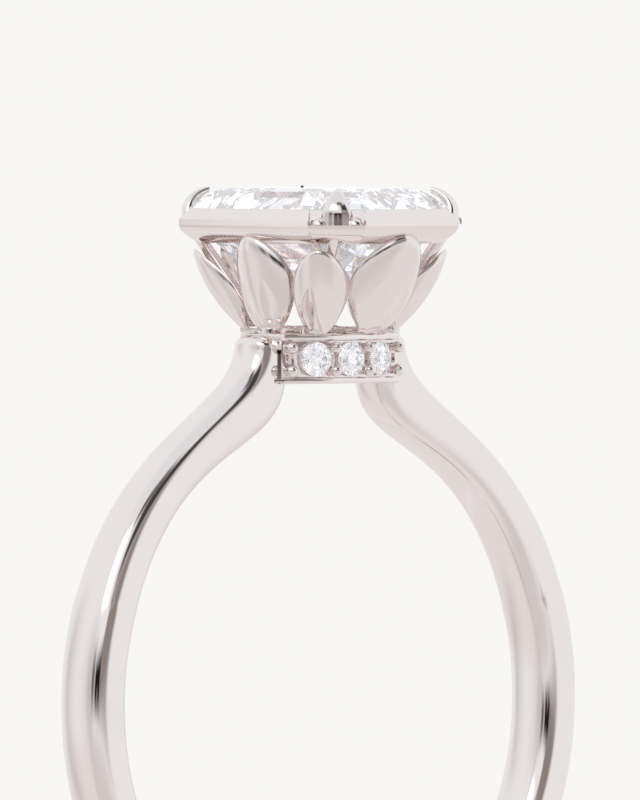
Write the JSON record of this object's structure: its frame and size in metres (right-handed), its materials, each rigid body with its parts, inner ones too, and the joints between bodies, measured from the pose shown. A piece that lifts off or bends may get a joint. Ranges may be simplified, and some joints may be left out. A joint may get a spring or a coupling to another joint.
{
  "type": "engagement ring",
  "caption": "White gold engagement ring: emerald-cut stone in a corner-cut bezel with claws, over a gallery of petals and a collar of accent stones.",
  "frame": {"origin": "centre of the finger hole", "axes": "+Z points from the finger to the centre stone, Y lies along the finger and along the stone's long side, and X runs across the finger from one arm to the other"},
  "size_m": [0.0194, 0.0082, 0.0249],
  "materials": {
    "white_gold": "high polish",
    "centre_diamond": "faceted, clear",
    "accent_diamond": "faceted, clear"
  },
  "bodies": {
    "root": {"shank": "white_gold", "lower_rail": "white_gold", "collar_wall": "white_gold", "gallery_plate": "white_gold", "arm_dowels": "white_gold", "bezel_frame": "white_gold", "bearing_ring": "white_gold", "claw_front_left": "white_gold", "claw_front_right": "white_gold", "claw_back_left": "white_gold", "claw_back_right": "white_gold", "petal_left": "white_gold", "petal_right": "white_gold", "petal_front": "white_gold", "petal_back": "white_gold", "petal_front_left": "white_gold", "petal_front_right": "white_gold", "petal_back_left": "white_gold", "petal_back_right": "white_gold", "bead_prongs_front": "white_gold", "bead_prongs_back": "white_gold", "centre_stone": "centre_diamond", "accent_front_left": "accent_diamond", "accent_front_middle": "accent_diamond", "accent_front_right": "accent_diamond", "accent_back_left": "accent_diamond", "accent_back_middle": "accent_diamond", "accent_back_right": "accent_diamond"}
  },
  "joints": []
}
